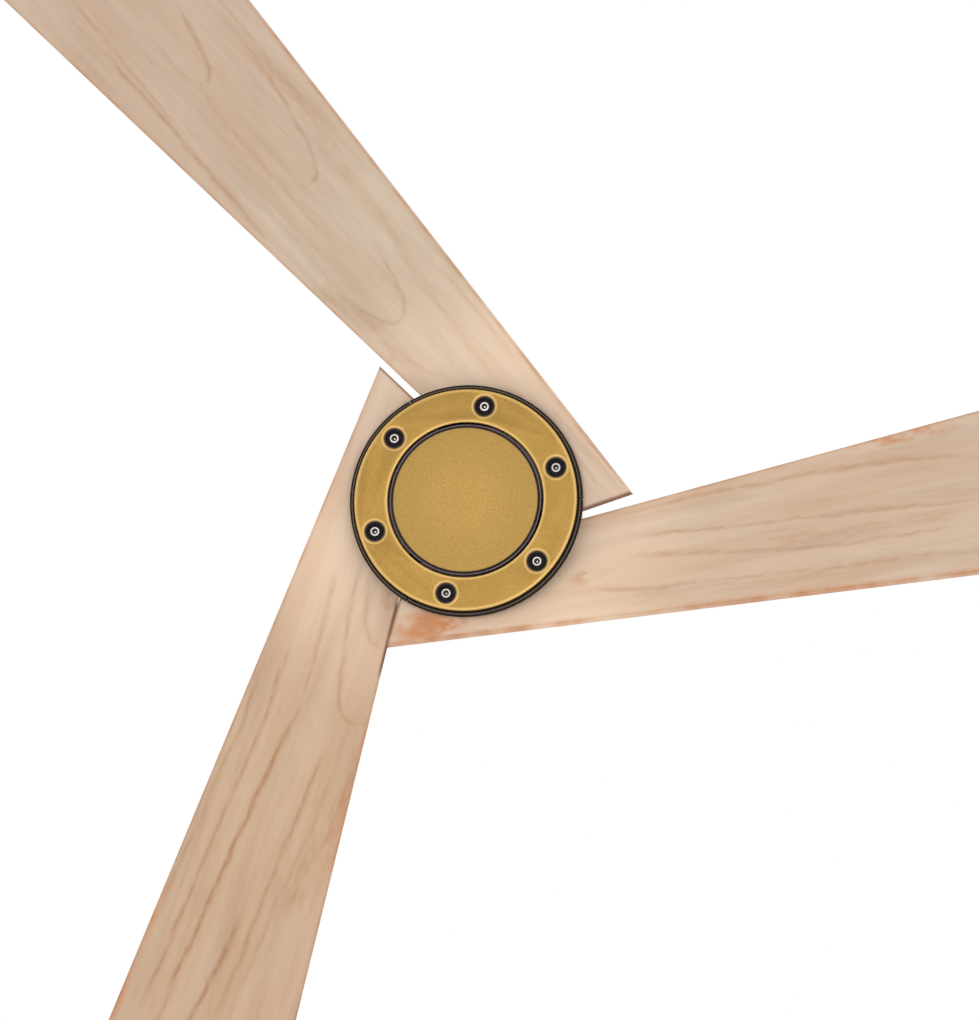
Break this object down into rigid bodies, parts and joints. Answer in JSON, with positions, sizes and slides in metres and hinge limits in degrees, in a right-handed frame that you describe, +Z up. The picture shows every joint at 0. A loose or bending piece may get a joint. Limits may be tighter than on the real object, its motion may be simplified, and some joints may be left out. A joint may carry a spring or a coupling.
{
  "type": "ceiling fan",
  "caption": "Ceiling fan with flat pitched wooden blades clamped under a round brass plate, a fixed centre cap, a short downrod and a ball hanger.",
  "frame": {"origin": "centre of the hanger bracket's top face, midway between its two slots, where it lies against the ceiling", "axes": "+Z up along the fan's axis, out of the ceiling face; the bracket's two slots lie along X"},
  "size_m": [1.1706, 1.2788, 0.232],
  "materials": {
    "pale_wood": "pale ash with long brown streaks, satin lacquer",
    "aged_brass": "aged brushed brass, satin",
    "plain_brass": "turned, bare",
    "dark_bronze": "near-black bronze, moulded, satin",
    "black_rubber": "matte",
    "black_plastic": "moulded, fine grain",
    "white_plastic": "moulded, fine grain",
    "bright_steel": "bright, machined",
    "dark_steel": "oiled black",
    "zinc_steel": "zinc plated, pressed",
    "cast_aluminium": "die cast, bare",
    "carrier_grey": "die cast, dark bronze paint",
    "magnet_grey": "nickel grey",
    "copper_wire": "enamelled copper windings",
    "circuit_board": "green solder mask"
  },
  "bodies": {
    "ceiling_fixing": {"hanger_bracket": "zinc_steel", "canopy": "aged_brass", "canopy_screws": "aged_brass", "remote_receiver": "white_plastic"},
    "swivel_pin": {"ball_cross_pin": "bright_steel"},
    "hung_motor": {"hanger_ball": "black_plastic", "downrod": "aged_brass", "rod_coupling": "zinc_steel", "coupling_pin": "bright_steel", "coupling_split_ring": "bright_steel", "coupling_set_screws": "dark_steel", "coupling_cover": "aged_brass", "motor_shaft": "bright_steel", "motor_housing": "aged_brass", "housing_screws": "bright_steel", "driver_board": "circuit_board", "board_spacers": "plain_brass", "stator_core": "dark_steel", "stator_coils": "copper_wire", "shaft_spacers": "bright_steel", "upper_inner_race": "bright_steel", "lower_inner_race": "bright_steel", "shaft_circlip": "dark_steel", "cap_adapter": "zinc_steel", "adapter_nut": "zinc_steel", "cap_studs": "bright_steel", "centre_cap": "aged_brass", "cap_edge_ring": "black_rubber"},
    "upper_ball_set": {"upper_bearing_balls": "bright_steel", "upper_bearing_cage": "plain_brass"},
    "lower_ball_set": {"lower_bearing_balls": "bright_steel", "lower_bearing_cage": "plain_brass"},
    "rotor": {"rotor_top_shell": "cast_aluminium", "rotor_bottom_shell": "cast_aluminium", "shell_screws": "bright_steel", "back_iron_ring": "dark_steel", "rotor_magnets": "magnet_grey", "upper_outer_race": "bright_steel", "lower_outer_race": "bright_steel", "blade_carrier": "carrier_grey", "carrier_inserts": "plain_brass", "carrier_screws": "bright_steel", "blade_1": "pale_wood", "blade_2": "pale_wood", "blade_3": "pale_wood", "blade_grommets": "black_rubber", "wedge_pad_1": "dark_bronze", "wedge_pad_2": "dark_bronze", "wedge_pad_3": "dark_bronze", "clamp_plate": "aged_brass", "well_cups": "black_plastic", "clamp_screws": "bright_steel"}
  },
  "joints": [
    {"name": "hanger_swing_y", "type": "hinge", "parent": "ceiling_fixing", "child": "swivel_pin", "pos_m": [0, 0, -0.035], "axis": [0, 1, 0], "range_deg": [-6, 6]},
    {"name": "hanger_swing_x", "type": "hinge", "parent": "swivel_pin", "child": "hung_motor", "pos_m": [0, 0, -0.035], "axis": [1, 0, 0], "range_deg": [-6, 6]},
    {"name": "blade_spin", "type": "hinge", "parent": "hung_motor", "child": "rotor", "pos_m": [0, 0, -0.213], "axis": [0, 0, 1], "continuous": true},
    {"name": "upper_ball_spin", "type": "hinge", "parent": "hung_motor", "child": "upper_ball_set", "pos_m": [0, 0, -0.1425], "axis": [0, 0, 1], "continuous": true},
    {"name": "lower_ball_spin", "type": "hinge", "parent": "hung_motor", "child": "lower_ball_set", "pos_m": [0, 0, -0.1815], "axis": [0, 0, 1], "continuous": true}
  ],
  "couplings": [
    {"joint": "upper_ball_spin", "follows": "blade_spin", "ratio": 0.62},
    {"joint": "lower_ball_spin", "follows": "blade_spin", "ratio": 0.62}
  ]
}
